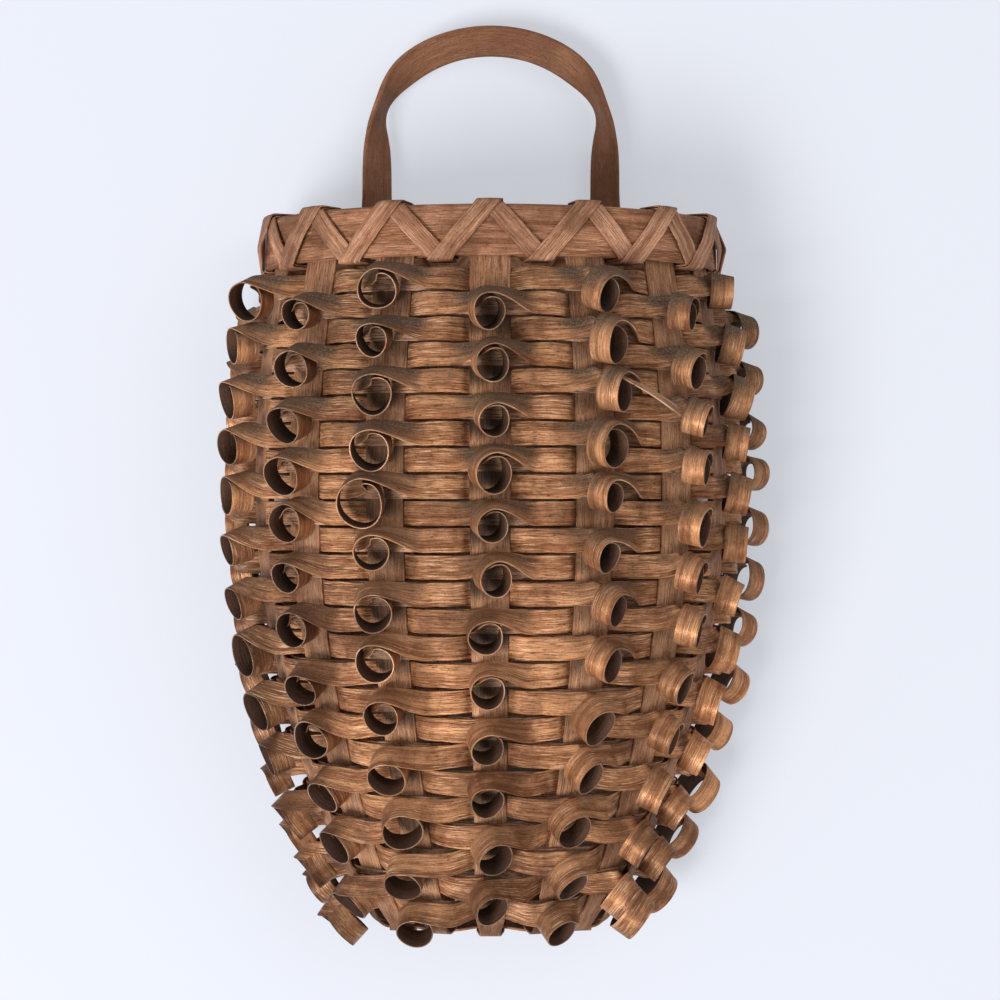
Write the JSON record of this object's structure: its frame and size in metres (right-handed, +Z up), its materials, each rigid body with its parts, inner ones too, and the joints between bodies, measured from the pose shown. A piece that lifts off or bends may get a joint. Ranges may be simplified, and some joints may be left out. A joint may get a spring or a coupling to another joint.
{
  "type": "wall basket",
  "caption": "Half-round hanging wall basket of plaited wood splints with curled overlay splints, a lashed hoop rim and a bent strap hanging loop.",
  "frame": {"origin": "on the wall plane, on the mid plane of the basket, level with the underside of the hanging loop's top, where a nail or hook carries it", "axes": "+X to the right of someone who faces the basket, -Y out from the wall through the round front, +Z up"},
  "size_m": [0.1985, 0.1007, 0.3459],
  "materials": {
    "stake_splint": "pale brown riven ash splint with upright grain, dull",
    "weaver_splint": "warm brown aged ash splint with streaky lengthways grain, dull with rubbed pale spots",
    "curl_splint": "thin aged ash splint, satin on the outside of each curl, dusty on top, dark inside",
    "rim_hoop": "bent hoop with dark lengthways grain, dull",
    "rim_lash": "thin lashing splint with fine lengthways grain, dull",
    "loop_strap": "smooth reddish brown bent strap, satin from handling"
  },
  "bodies": {
    "root": {"stake_splint_front_1": "stake_splint", "stake_splint_front_2": "stake_splint", "stake_splint_front_3": "stake_splint", "stake_splint_front_4": "stake_splint", "stake_splint_front_5": "stake_splint", "stake_splint_side_1": "stake_splint", "stake_splint_side_2": "stake_splint", "weaver_row_01": "weaver_splint", "weaver_row_02": "weaver_splint", "weaver_row_03": "weaver_splint", "weaver_row_04": "weaver_splint", "weaver_row_05": "weaver_splint", "weaver_row_06": "weaver_splint", "weaver_row_07": "weaver_splint", "weaver_row_08": "weaver_splint", "weaver_row_09": "weaver_splint", "weaver_row_10": "weaver_splint", "weaver_row_11": "weaver_splint", "weaver_row_12": "weaver_splint", "weaver_row_13": "weaver_splint", "weaver_row_14": "weaver_splint", "weaver_row_15": "weaver_splint", "weaver_row_16": "weaver_splint", "weaver_row_17": "weaver_splint", "weaver_row_18": "weaver_splint", "weaver_row_19": "weaver_splint", "weaver_row_20": "weaver_splint", "weaver_row_21": "weaver_splint", "weaver_row_22": "weaver_splint", "weaver_row_23": "weaver_splint", "weaver_row_24": "weaver_splint", "weaver_row_25": "weaver_splint", "curl_row_01": "curl_splint", "curl_row_02": "curl_splint", "curl_row_03": "curl_splint", "curl_row_04": "curl_splint", "curl_row_05": "curl_splint", "curl_row_06": "curl_splint", "curl_row_07": "curl_splint", "curl_row_08": "curl_splint", "curl_row_09": "curl_splint", "curl_row_10": "curl_splint", "curl_row_11": "curl_splint", "curl_row_12": "curl_splint", "curl_row_13": "curl_splint", "curl_row_14": "curl_splint", "curl_row_15": "curl_splint", "curl_row_16": "curl_splint", "curl_row_17": "curl_splint", "curl_row_18": "curl_splint", "curl_row_19": "curl_splint", "curl_row_20": "curl_splint", "curl_row_21": "curl_splint", "curl_row_22": "curl_splint", "curl_row_23": "curl_splint", "curl_row_24": "curl_splint", "rim_outer_hoop": "rim_hoop", "rim_inner_hoop": "rim_hoop", "rim_lashing": "rim_lash", "hanging_loop": "loop_strap"}
  },
  "joints": []
}
